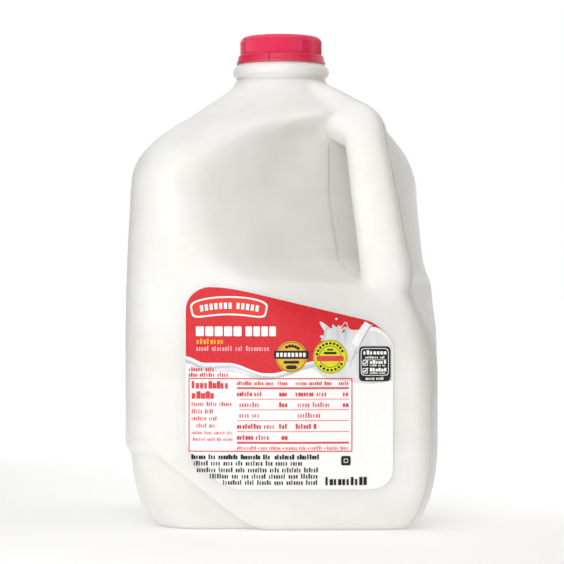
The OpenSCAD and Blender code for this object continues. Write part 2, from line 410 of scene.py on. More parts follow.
@dataclass(frozen=True)
class BottleForm:
    """The bottle's outer form in millimetres, as a wall at any angle about the neck's axis and any height.

    Angles are in radians from +X. The walls stand at 45 degrees to +X, the moulds part on the XZ plane,
    and the corner at +X is pressed in above the ledge to leave the handle free.
    """

    body_w: float
    shoulder_z: float
    body_bulge: float = 3.5
    body_lean: float = 3.5
    shoulder_slope: float = math.tan(math.radians(34.0))
    seam_r: float = SEAM_R
    side_r: float = 25.0
    foot_h: float = 43.0
    foot_in: float = 15.5
    arch_h: float = 38.0
    arch_w: float = 44.0
    arch_depth: float = 3.0
    base_rise: float = 4.0
    handle_inset: float = 30.0
    handle_lean: float = math.radians(12.0)
    handle_w: float = 22.6
    handle_d: float = 25.0
    finger_gap: float = 19.0
    hole_z: float = 132.0
    crest_lean: float = math.radians(23.6)
    neck_r: float = 22.9
    flare_h: float = 27.0
    recess_rise: float = 8.0
    recess_fall: float = 12.0
    recess_lean: float = 0.22
    ledge_out: float = 58.0
    roof_out: float = 68.0
    shoulder_blend: float = 25.0
    neck_blend: float = 5.0

    @property
    def half_w(self) -> float:
        """Half the width across the flats."""
        return self.body_w / 2.0

    @property
    def corner_x(self) -> float:
        """Distance of a seam corner from the axis."""
        return ROOT2 * self.half_w - (ROOT2 - 1.0) * self.seam_r

    @property
    def grip_top(self) -> float:
        """Height where the handle's inset is measured."""
        return self.shoulder_z - 28.0

    @property
    def flare_z(self) -> float:
        """Height where the handle's outer edge has run out to the corner."""
        return self.grip_top - 99.0

    @property
    def hole_top(self) -> float:
        """Height of the top of the finger hole."""
        return self.shoulder_z - 18.0

    def wall_half(self, z: Array) -> Array:
        """Half width of the plain wall: it leans in by body_lean with the power 1.6 of the height."""
        top, low = self.shoulder_z - 36.0, self.flare_z + 1.0
        return self.half_w - self.body_lean * np.clip((z - low) / (top - low), 0.0, 1.5) ** 1.6

    def form_half(self, z: Array) -> Array:
        """Half width with the shoulder: the wall, a straight slope and the neck, blended into each other."""
        slope = self.neck_r + (self.shoulder_z - z) / self.shoulder_slope
        body = soft_min(self.wall_half(z), slope, self.shoulder_blend)
        return soft_max(body, np.full_like(slope, self.neck_r), self.neck_blend)

    def foot_inset(self, z: Array) -> Array:
        """How far the wall draws in at the foot: a quarter ellipse foot_h high and foot_in deep."""
        t = np.clip(1.0 - z / self.foot_h, 0.0, 1.0)
        return self.foot_in * (1.0 - np.sqrt(1.0 - t * t))

    def outer_x(self, z: Array) -> Array:
        """Outer edge of the handle in the seam plane: a leaning line that flares out to the corner."""
        run = math.tan(self.handle_lean)
        flare = self.handle_inset - (self.grip_top - self.flare_z) * run
        out = soft_step((self.flare_z + self.flare_h - z) / self.flare_h)
        return self.corner_x - self.handle_inset + (self.grip_top - z) * run + flare * out

    def grip_x(self, z: Array, ya: Array) -> Array:
        """Wall behind the fingers at distance ya from the seam: a back plane that leans out below, with a
        ledge under it and a roof over it, both bent by the square of ya, and falling back past 24 mm. The
        ledge grows gentler the same way."""
        back = float(self.outer_x(np.array(self.grip_top - 30.0))) - self.handle_d - self.finger_gap
        bend = (ya / 80.0) ** 2
        low = self.hole_z + self.recess_rise * bend
        top = self.hole_top - self.recess_fall * bend
        return (back + self.recess_lean * np.clip(self.grip_top - 29.0 - z, 0.0, 58.0)
                + self.ledge_out * soft_step((low - z) / (24.0 + 34.0 * bend)) ** 1.5
                + self.roof_out * soft_step((z - top + 8.0) / 21.0) ** 1.5
                - 0.0041 * np.clip(ya - 24.0, 0.0, None) ** 2)

    def ring(self, a: Array, z: Array) -> Array:
        """Distance of the plain wall from the axis: a square with rounded corners, whose radius grows on the
        shoulder, and whose faces are crowned by the squared cosine across and a sine up the height."""
        k = np.round(a / (QUARTER)).astype(int)
        corner_r = np.where(k % 2 == Corner.SEAM.value, self.seam_r, self.side_r)
        form, wall = self.form_half(z), self.wall_half(z)
        h = form - self.foot_inset(z)
        r = np.minimum(h, corner_r + wall - form)
        d = np.abs(a - k * QUARTER)
        psi = math.pi / 4.0 - d
        c = ROOT2 * (h - r)
        flat = h / np.cos(psi)
        arc = c * np.cos(d) + np.sqrt(np.clip(r * r - (c * np.sin(d)) ** 2, 0.0, None))
        crown = (np.clip((h - 29.0) / 44.0, 0.0, 1.0) * np.cos(2.0 * psi) ** 2
                 * np.sin(math.pi * np.clip((z + 20.0) / (self.shoulder_z + 6.0), 0.0, 1.0)) ** 0.7)
        return np.where(h * np.tan(np.abs(psi)) <= h - r, flat, arc) + self.body_bulge * crown

    def arch_inset(self, a: Array, z: Array, plain: Array) -> Array:
        """Depth of the stepped-in foot panel: level round the back half, arched at its two ends.

        Args:
            a: angles.
            z: heights.
            plain: the plain wall's distance from the axis there.

        Returns:
            The depth, with a step 5 mm high at the panel's upper edge.
        """
        k = np.round(a / (QUARTER)).astype(int)
        off = np.abs(a - k * QUARTER)
        front = np.cos(a) > 0.0
        side = k % 2 == Corner.SIDE.value
        e = ROOT2 * plain * np.sin(off) - 0.35 * self.side_r
        arch = np.where(side, 1.0 - np.clip(e / self.arch_w, 0.0, 1.2) ** 1.4, -1.0)
        top = self.arch_h * np.where(front, arch, 1.0)
        deeper = np.where(front & side, 1.0 + np.clip(e / self.arch_w, 0.0, 1.0), 1.0)
        return self.arch_depth * deeper * soft_step((top - z) / 5.0 + 0.5)

    def flat_edge_z(self, v: Array) -> Array:
        """Height where the flat above the label begins, falling by a parabola towards the handle corner."""
        return self.flare_z - 2.0 + 22.0 * (1.0 - np.clip((v + 44.0) / 118.0, 0.0, 1.1) ** 2)

    def pressed(self, f: Array, other: Array, z: Array) -> Array:
        """A face's outward distance, pressed in towards the handle corner by a fourth power.

        Args:
            f: outward distance of the face's points.
            other: their sideways distance, positive towards the handle corner.
            z: their heights.

        Returns:
            The pressed distance.
        """
        full = self.form_half(z) + self.body_bulge
        deep = np.clip(full - self.outer_x(z) / ROOT2 - 2.9, 0.0, 18.0)
        return (f - deep * np.clip(f / full, 0.0, None) ** 4
                * soft_step((other + 20.0) / 68.0) * soft_step((z - self.flat_edge_z(other) + 16.0) / 30.0))

    def shell(self, a: Array, z: Array) -> tuple[Array, Array]:
        """Place of the finished wall: the ring less the foot panel, pressed in beside the handle, and cut
        back to the wall behind the fingers.

        Args:
            a: angles.
            z: heights.

        Returns:
            X and Y of the wall.
        """
        plain = self.ring(a, z)
        r = plain - self.arch_inset(a, z, plain)
        u, v = r * np.cos(a + math.pi / 4.0), r * np.sin(a + math.pi / 4.0)
        pu, pv = self.pressed(u, v, z), self.pressed(v, u, z)
        x, y = from_face(pu, pv)
        grip = soft_min(self.grip_x(z, np.abs(y)), self.outer_x(z), 4.0)
        round_k = 6.0 + (5.0 + 12.0 * (y / 80.0) ** 2) * soft_step((z - self.hole_top + 14.0) / 10.0)
        return np.where(x > 0.0, soft_min(x, grip, round_k), x), y

    def face_out(self, v: Array, z: Array) -> Array:
        """Outward distance of the label face at sideways distance v, found by correcting the angle until
        the wall there lies at v.

        Args:
            v: sideways distances from the face's middle, positive towards the handle corner.
            z: heights.

        Returns:
            Distances of the wall from the axis, along the face's outward direction.
        """
        turn = np.arctan2(v, self.form_half(z))
        for _ in range(8):
            x, y = self.shell(turn - math.pi / 4.0, z)
            u, got = to_face(x, y)
            turn = turn + (v - got) * np.cos(turn) / np.hypot(u, got)
        return u

    def handle_line(self, crest_steps: int = 16, bend_steps: int = 14,
                    column_steps: int = 44) -> tuple[Array, Array]:
        """Centre line of the handle in the seam plane: along the crest, round a bend, down the column.

        Args:
            crest_steps: points along the crest.
            bend_steps: points round the bend.
            column_steps: points down the column.

        Returns:
            Points as X and Z, and the line's direction below horizontal at each.
        """
        axis_in, bend_r = self.handle_d / 2.0 + 0.3, 6.0
        crest, lean = self.crest_lean, self.handle_lean
        along = np.array([math.cos(crest), -math.sin(crest)])
        up = np.array([math.sin(crest), math.cos(crest)])
        down = np.array([math.sin(lean), -math.cos(lean)])
        out = np.array([math.cos(lean), math.sin(lean)])
        crest_at = np.array([self.neck_r, self.shoulder_z + 3.6]) - axis_in * up
        column_at = np.array([float(self.outer_x(np.array(self.grip_top))), self.grip_top]) - axis_in * out
        gap = column_at - crest_at
        reach = (gap[0] * down[1] - gap[1] * down[0]) / (along[0] * down[1] - along[1] * down[0])
        turn = QUARTER - crest - lean
        start = crest_at + along * (reach - bend_r * math.tan(turn / 2.0))
        centre = start - bend_r * up
        back = np.linspace(5.2, 0.0, crest_steps)[:, None]
        leg = start - along * 9.0 * back - np.array([0.0, 0.5]) * np.clip(back - 2.6, 0.0, None) ** 2
        t = crest + turn * np.linspace(0.0, 1.0, bend_steps + 1)[1:]
        bend = centre + bend_r * np.stack([np.sin(t), np.cos(t)], axis=-1)
        length = (bend[-1, 1] - self.hole_z + 28.0) / math.cos(lean)
        column = bend[-1] + down * length * np.linspace(0.0, 1.0, column_steps + 1)[1:, None]
        column[:, 0] -= 6.0 * soft_step((self.hole_z - 8.0 - column[:, 1]) / 20.0)
        points = np.concatenate([leg, bend, column])
        return points, np.concatenate([np.full(crest_steps, crest), t, np.full(column_steps, QUARTER - lean)])

    def handle_section(self, t: Array, z: Array) -> Array:
        """Radius of the handle's section: a superellipse turned by 45 degrees, squarer and wider towards the
        seam and rounder towards the hole, slimmer at the top and stouter below.

        Args:
            t: angles round the section, 0 outwards.
            z: heights of the sections.

        Returns:
            Radii.
        """
        slim = (0.12 * soft_step((z - self.grip_top + 40.0) / 40.0)
                - 0.10 * soft_step((self.grip_top - 40.0 - z) / 30.0))
        seamward = 0.5 + 0.5 * np.cos(t)
        power = 2.6 + 0.6 * seamward
        spread = np.abs(np.cos(t - math.pi / 4.0)) ** power + np.abs(np.sin(t - math.pi / 4.0)) ** power
        return self.handle_w / 2.0 * (1.0 - slim) * (1.0 + 0.11 * seamward ** 3) / spread ** (1.0 / power)

    def seam_outline(self) -> Array:
        """Outer outline of the bottle in the seam plane on the handle's side, from the foot to the neck.

        Returns:
            Points as X and Z.
        """
        z = np.linspace(3.0, self.hole_z + 10.0, 240)
        corner_x, _ = self.shell(np.zeros_like(z), z)
        points, direction = self.handle_line()
        r = self.handle_section(np.zeros(len(points)), points[:, 1])
        outer = points + r[:, None] * np.stack([np.sin(direction), np.cos(direction)], axis=-1)
        outer = outer[::-1]
        wall_x = np.interp(outer[:, 1], z, corner_x)
        joins = int(np.argmax((outer[:, 0] > wall_x) & (outer[:, 1] > self.flare_z)))
        corner = np.stack([corner_x, z], axis=-1)[z < outer[joins, 1] - 1.0]
        crest = outer[joins:]
        return np.concatenate([corner, crest[crest[:, 0] > self.neck_r - 3.0]])


# ---------------------------------------------------------------- the bottle's pieces


@dataclass
class Bottle:
    """The blow-moulded bottle with its handle, neck and parting lines."""

    form: BottleForm
    finish: MilkyPolyethylene
    neck_top: float
    bead_r: float = 24.3
    voxel: float = 1.5
    around: int = 480
    levels: int = 300
    smooth_rounds: int = 12
    seam_sunk: float = 0.4

    def skin(self) -> bpy.types.Object:
        """Bottle wall and handle tube as two closed surfaces in one mesh."""
        form = self.form
        a = np.linspace(-math.pi, math.pi, self.around, endpoint=False)[None, :]
        t = np.linspace(0.0, 1.0, self.levels)
        foot = form.foot_h * (1.0 - np.cos(t[t < 0.2] / 0.2 * QUARTER))
        top_z = form.shoulder_z + 3.0
        wall = np.linspace(form.foot_h, top_z, self.levels - len(foot))
        z = np.concatenate([foot, wall])[:, None]
        x, y = form.shell(a + 0.0 * z, z + 0.0 * a)
        body = np.stack([x, y, z + 0.0 * a], axis=-1)
        low = form.ring(a, np.zeros_like(a))
        share = np.array([0.35, 0.66, 0.70, 0.74, 0.78, 0.82, 0.86])[:, None]
        rise = form.base_rise * (1.0 - soft_step((share - 0.70) / 0.16))
        base = spun(share * low, rise, a)
        work = Patchwork()
        work.tube(np.concatenate([base, body]), (0.0, 0.0, form.base_rise), (0.0, 0.0, top_z))
        points, direction = form.handle_line()
        turn = np.linspace(0.0, 2.0 * math.pi, 72, endpoint=False)[None, :]
        r = form.handle_section(turn, points[:, 1:2])
        side = r * np.cos(turn)
        tube = np.stack([points[:, :1] + side * np.sin(direction)[:, None], r * np.sin(turn),
                         points[:, 1:2] + side * np.cos(direction)[:, None]], axis=-1)
        work.tube(tube, (points[0, 0], 0.0, points[0, 1]), (points[-1, 0], 0.0, points[-1, 1]))
        return work.piece("jug_shell")

    def smooth(self, mesh: bpy.types.Mesh) -> None:
        """Evens the mesh: each point moves half way to the mean of its neighbours, then back by a little
        more than half of the new difference, so that small steps go and the size stays."""
        count = len(mesh.vertices)
        co = np.zeros(count * 3)
        mesh.vertices.foreach_get("co", co)
        co = co.reshape(-1, 3)
        ends = np.zeros(len(mesh.edges) * 2, np.int64)
        mesh.edges.foreach_get("vertices", ends)
        i, j = ends.reshape(-1, 2).T
        degree = np.bincount(i, minlength=count) + np.bincount(j, minlength=count)
        for share in (0.5, -0.52) * self.smooth_rounds:
            near = [np.bincount(i, co[j, k], count) + np.bincount(j, co[i, k], count) for k in range(3)]
            co = co + share * (np.stack(near, axis=-1) / degree[:, None] - co)
        co[:, 2] = np.maximum(co[:, 2], 0.0)
        mesh.vertices.foreach_set("co", co.ravel())

    def shell(self) -> bpy.types.Object:
        """Wall and handle joined into one skin by remeshing, then smoothed."""
        piece = self.skin()
        remesh = piece.modifiers.new("join", "REMESH")
        remesh.mode = "VOXEL"
        remesh.voxel_size = self.voxel * MM
        seen = piece.evaluated_get(bpy.context.evaluated_depsgraph_get())
        mesh = bpy.data.meshes.new_from_object(seen)
        piece.modifiers.clear()
        piece.data = mesh
        self.smooth(mesh)
        shade_smooth(mesh)
        return piece

    def neck(self) -> bpy.types.Object:
        """Neck as a turned profile: a straight root, a fine step, the waist and the rolled bead."""
        root = self.form.shoulder_z
        t = np.linspace(-78.0, 78.0, 19) * math.pi / 180.0
        bead = np.stack([self.bead_r - 1.9 + 1.9 * np.cos(t), root + 7.3 + 2.6 * np.sin(t)], axis=-1)
        steps = ((-1.0, -6.0), (0.75, -1.5), (0.8, 0.4), (0.5, 1.1), (-0.3, 1.6), (-0.5, 3.2), (-0.3, 4.4))
        low = np.array([(self.form.neck_r + out, root + up) for out, up in steps])
        top_z = self.neck_top - 0.2
        top = np.array([[bead[-1, 0] - 0.5, top_z], [18.0, top_z]])
        return turned("jug_neck", np.concatenate([low, bead, top]), 128)

    def parting_line(self, name: str, outline: Array, across: float = 0.9,
                     proud: float = 0.2) -> bpy.types.Object:
        """Flash line where the moulds part: a low ridge, an ellipse whose lower half is sunk in the wall,
        carried along an outline in the seam plane.

        Args:
            name: the piece's name.
            outline: points as X and Z, with the outside on the right of the way they run.
            across: width of the ridge.
            proud: its height.

        Returns:
            The ridge.
        """
        step = np.gradient(outline, axis=0)
        step /= np.linalg.norm(step, axis=1)[:, None]
        out = np.stack([step[:, 1], -step[:, 0]], axis=-1)
        t = np.linspace(0.0, 2.0 * math.pi, 16, endpoint=False)[None, :]
        rise = np.where(np.sin(t) > 0.0, proud, self.seam_sunk) * np.sin(t) - 0.06
        rings = np.stack(np.broadcast_arrays(
            outline[:, :1] + out[:, :1] * rise, across / 2.0 * np.cos(t),
            outline[:, 1:] + out[:, 1:] * rise), axis=-1)
        work = Patchwork()
        low, high = ((end[0], 0.0, end[1]) for end in (outline[0], outline[-1]))
        work.tube(rings, low, high, flip=True)
        return work.piece(name)

    def build(self) -> None:
        """Makes and dresses the bottle's pieces."""
        finish = self.finish.material()
        dress(self.shell(), finish, "bottle_plastic", "jug")
        dress(self.neck(), finish, "bottle_plastic")
        form = self.form
        # The mould seams get a lighter copy of the bottle plastic: partly the thin ridge with little milk
        # behind it, and partly a painted highlight for the light that catches the ridge.
        flash_plastic_with_painted_highlight = replace(self.finish, name="polyethylene_flash_painted_highlight", milk="#fcfbf8", thin="#f9f7f2").material()
        back_z = np.linspace(form.shoulder_z - 2.0, 3.0, 220)
        hole_z = np.linspace(form.hole_z - 6.0, form.hole_top - 8.0, 90)
        back_x, _ = form.shell(np.full_like(back_z, math.pi), back_z)
        hole_x, _ = form.shell(np.zeros_like(hole_z), hole_z)
        lines = (self.parting_line("seam_handle_side", form.seam_outline(), 1.0, 0.32),
                 self.parting_line("seam_back", np.stack([back_x, back_z], axis=-1)),
                 self.parting_line("seam_finger_hole", np.stack([hole_x, hole_z], axis=-1)))
        for line in lines:
            dress(line, flash_plastic_with_painted_highlight, "bottle_plastic")


def turned(name: str, profile: Array, around: int) -> bpy.types.Object:
    """A profile turned about the neck's axis and closed at both ends.

    Args:
        name: the piece's name.
        profile: points as radius and height, from low to high.
        around: number of points round it.

    Returns:
        The piece.
    """
    a = np.linspace(0.0, 2.0 * math.pi, around, endpoint=False)[None, :]
    work = Patchwork()
    work.tube(spun(profile[:, :1], profile[:, 1:], a), (0.0, 0.0, profile[0, 1]), (0.0, 0.0, profile[-1, 1]))
    return work.piece(name)


# ---------------------------------------------------------------- the cap


@dataclass
class Cap:
    """The snap cap: a ribbed crown and the flared tear band below it, slit at its pull."""

    low_z: float
    high_z: float
    band_r: float
    wall_r: float = 20.2
    band_h: float = 5.0
    ribs: int = 120
    rib_out: float = 0.42
    edge_r: float = 2.4
    slit_at: float = math.radians(-60.5)
    slit_w: float = 0.3

    def ribbed(self, a: Array) -> Array:
        """1 where there are ribs and 0 on the three smooth stretches between, with soft ends."""
        place = np.mod(np.degrees(a), 120.0)
        return soft_step((place - 13.0) / 2.0) * soft_step((107.0 - place) / 2.0)

    def crown(self) -> bpy.types.Object:
        """Ribbed wall, rounded edge and slightly crowned top as one surface of angle and profile."""
        a = np.linspace(0.0, 2.0 * math.pi, self.ribs * 10, endpoint=False)[None, :]
        edge = np.linspace(0.0, QUARTER, 9)
        low, high, r = self.low_z + self.band_h - 0.6, self.high_z, self.wall_r
        wall_z = np.linspace(low, high - self.edge_r - 0.4, 12)
        radius = np.concatenate([np.full(12, r), r - self.edge_r * (1.0 - np.cos(edge)),
                                 np.array([0.84, 0.80, 0.74, 0.4]) * r])
        z = np.concatenate([wall_z, high - 0.4 - self.edge_r * (1.0 - np.sin(edge)),
                            high - np.array([0.36, 0.55, 0.30, 0.05])])
        rise = np.clip((z - low - 0.4) / 0.8, 0.0, 1.0) * soft_step((high - 1.5 - z) / 1.2)
        wave = np.clip(0.5 + 0.75 * np.cos(self.ribs * a), 0.0, 1.0)
        rib = self.rib_out * self.ribbed(a) * wave * rise[:, None]
        work = Patchwork()
        work.tube(spun(radius[:, None] + rib, z[:, None], a), (0.0, 0.0, low), (0.0, 0.0, high))
        return work.piece("cap_crown")

    def band(self) -> bpy.types.Object:
        """Tear band: a flared ring with a rolled lower lip, parted at the slit, thinned where it tears."""
        gap = self.slit_w / self.band_r
        a = self.slit_at + np.linspace(gap / 2.0, 2.0 * math.pi - gap / 2.0, 240)[None, :]
        low, r, top = self.low_z, self.band_r, self.low_z + self.band_h
        profile = np.array([
            [r - 2.0, low + 0.1], [r - 0.5, low], [r - 0.1, low + 0.25], [r, low + 0.7],
            [r - 0.05, low + 1.3],
            [r - 0.45, low + 1.8], [r - 0.7, low + 2.8], [r - 0.9, top - 1.0], [r - 1.2, top - 0.45],
            [self.wall_r + 0.3, top - 0.25], [self.wall_r - 0.4, top - 0.3], [self.wall_r - 0.4, low + 0.6]])
        grid = spun(profile[:, :1], profile[:, 1:], a)
        grid = np.concatenate([grid, grid[:1]])
        work = Patchwork()
        work.grid(grid)
        for end, turn in ((grid[:-1, 0], 1), (grid[:-1, -1], -1)):
            ids = work.count + np.arange(len(end))
            work.points.append(end)
            work.count += len(end)
            work.fan(ids[::turn], end.mean(axis=0))
        return work.piece("cap_tear_band")

    def build(self) -> None:
        """Makes and dresses the cap's pieces."""
        low = self.low_z * MM
        crown = CapPolyethylene("red_cap_plastic", "#e82555", "#ea3260", low)
        dress(self.crown(), crown.material(), "cap_plastic", "cap")
        band = CapPolyethylene("red_band_plastic", "#d91f4b", "#df2b55", low, 0.35)
        dress(self.band(), band.material(), "cap_plastic")


# ---------------------------------------------------------------- the label


@dataclass
class InkSheet:
    """All the shapes of one ink, as grids of sideways place, height and stacking order on the label."""

    ink: Ink
    order: int
    work: Patchwork = field(default_factory=Patchwork)

    def grid(self, s: Array, h: Array, around: bool = False) -> None:
        """Adds a shape given as arrays of sideways place and height above the label's lower left corner.

        Args:
            s: sideways places, as rows and columns.
            h: heights.
            around: whether the rows are rings from the inside out, whose faces then need turning.
        """
        places = np.stack([s, h, np.full_like(s, float(self.order))], axis=-1)
        self.work.grid(places, around=around, flip=around)

    def bar(self, s0: float, s1: float, h0: float, h1: float) -> None:
        """Adds a level rectangle, cut up so that it follows the curved face."""
        across = np.linspace(s0, s1, max(2, int((s1 - s0) / 3.0) + 2))
        up = np.linspace(h0, h1, max(2, int((h1 - h0) / 3.0) + 2))
        self.grid(*np.meshgrid(across, up))

    def frame(self, s0: float, s1: float, h0: float, h1: float, line: float) -> None:
        """Adds the outline of a square-cornered rectangle as four bars."""
        self.bar(s0, s1, h0, h0 + line)
        self.bar(s0, s1, h1 - line, h1)
        self.bar(s0, s0 + line, h0 + line, h1 - line)
        self.bar(s1 - line, s1, h0 + line, h1 - line)

    def band(self, s: Array, low: Array, high: Array, rows: int = 12) -> None:
        """Adds the field between a lower and an upper edge, given along s."""
        t = np.linspace(0.0, 1.0, rows)[:, None]
        self.grid(s[None, :] + 0.0 * t, low[None, :] + (high - low)[None, :] * t)

    def stroke(self, start: tuple[float, float], end: tuple[float, float], wide: tuple[float, float],
               bow: float = 0.0) -> None:
        """Adds a brush stroke: a strip that runs from start to end, bows sideways and changes its width.

        Args:
            start: place of its start.
            end: place of its end.
            wide: its width at the start and at the end.
            bow: how far its middle stands out to the left of its run.
        """
        t = np.linspace(0.0, 1.0, 17)[None, :]
        side = np.linspace(-0.5, 0.5, 5)[:, None]
        run = np.array(end) - np.array(start)
        left = np.array([-run[1], run[0]]) / np.hypot(*run)
        off = bow * np.sin(math.pi * t) + side * (wide[0] + (wide[1] - wide[0]) * t)
        self.grid(start[0] + run[0] * t + left[0] * off, start[1] + run[1] * t + left[1] * off)

    def blob(self, s: float, h: float, outer: tuple[Array, Array],
             inner: tuple[Array, Array] | None = None) -> None:
        """Adds a shape round a middle point, between an inner and an outer outline.

        Args:
            s: sideways place of the middle.
            h: height of the middle.
            outer: the outer outline, as sideways and upward distances from the middle.
            inner: the inner outline, or None for a filled shape.
        """
        share = np.linspace(0.0, 1.0, 5)[:, None]
        inner_s, inner_h = inner if inner else (0.001 * outer[0], 0.001 * outer[1])
        self.grid(s + outer[0] * share + inner_s * (1.0 - share),
                  h + outer[1] * share + inner_h * (1.0 - share), around=True)

    def disc(self, s: float, h: float, r: float, inner: float = 0.0) -> None:
        """Adds a disc or a ring."""
        self.block(s - r, s + r, h - r, h + r, 2.0, r - inner if inner else 0.0)

    def block(self, s0: float, s1: float, h0: float, h1: float, power: float = 8.0,
              line: float = 0.0) -> None:
        """Adds a rectangle with rounded corners, a superellipse of the given power, or only its outline.

        Args:
            s0: left edge.
            s1: right edge.
            h0: lower edge.
            h1: upper edge.
            power: the superellipse's power; more is squarer.
            line: width of the outline, or 0 for a filled shape.
        """
        a, b = (s1 - s0) / 2.0, (h1 - h0) / 2.0
        inner = rounded_outline(a - line, b - line, power) if line else None
        self.blob((s0 + s1) / 2.0, (h0 + h1) / 2.0, rounded_outline(a, b, power), inner)

    def row(self, s0: float, s1: float, mid: float, tall: float, rng: np.random.Generator,
            pitch: float = 0.52, weight: float = 0.58) -> None:
        """Adds a row of small upright blocks in groups, as a line of print looks from afar.

        Args:
            s0: left end.
            s1: right end.
            mid: height of the row's middle.
            tall: height of its tallest blocks.
            rng: seeded source of the groups' lengths.
            pitch: distance from block to block, as a share of their height.
            weight: share of each place that its block fills.
        """
        places = max(1, int((s1 - s0) / (pitch * tall)))
        step = (s1 - s0) / places
        left_in_group = int(rng.integers(4, 9))
        for i in range(places):
            if left_in_group == 0 and i < places - 3:
                left_in_group = int(rng.integers(3, 9))
                continue
            left_in_group = max(0, left_in_group - 1)
            at, wide = s0 + step * i, step * weight * float(rng.choice([0.8, 1.0, 1.2]))
            high = mid + tall * (0.5 if rng.random() < 0.25 else 0.24)
            self.grid(*np.meshgrid(np.array([at, at + wide]), np.array([mid - tall / 2.0, high])))


def rounded_outline(a: float, b: float, power: float, count: int = 96) -> tuple[Array, Array]:
    """Outline of a superellipse with half sizes a and b, its points closest together at the corners.

    Args:
        a: half its width.
        b: half its height.
        power: 2 for an ellipse, more for a squarer shape.
        count: number of points.

    Returns:
        Sideways and upward distances from its middle.
    """
    t = np.linspace(0.0, 2.0 * math.pi, count, endpoint=False)
    c, s = np.cos(t), np.sin(t)
    return a * np.sign(c) * np.abs(c) ** (2.0 / power), b * np.sign(s) * np.abs(s) ** (2.0 / power)


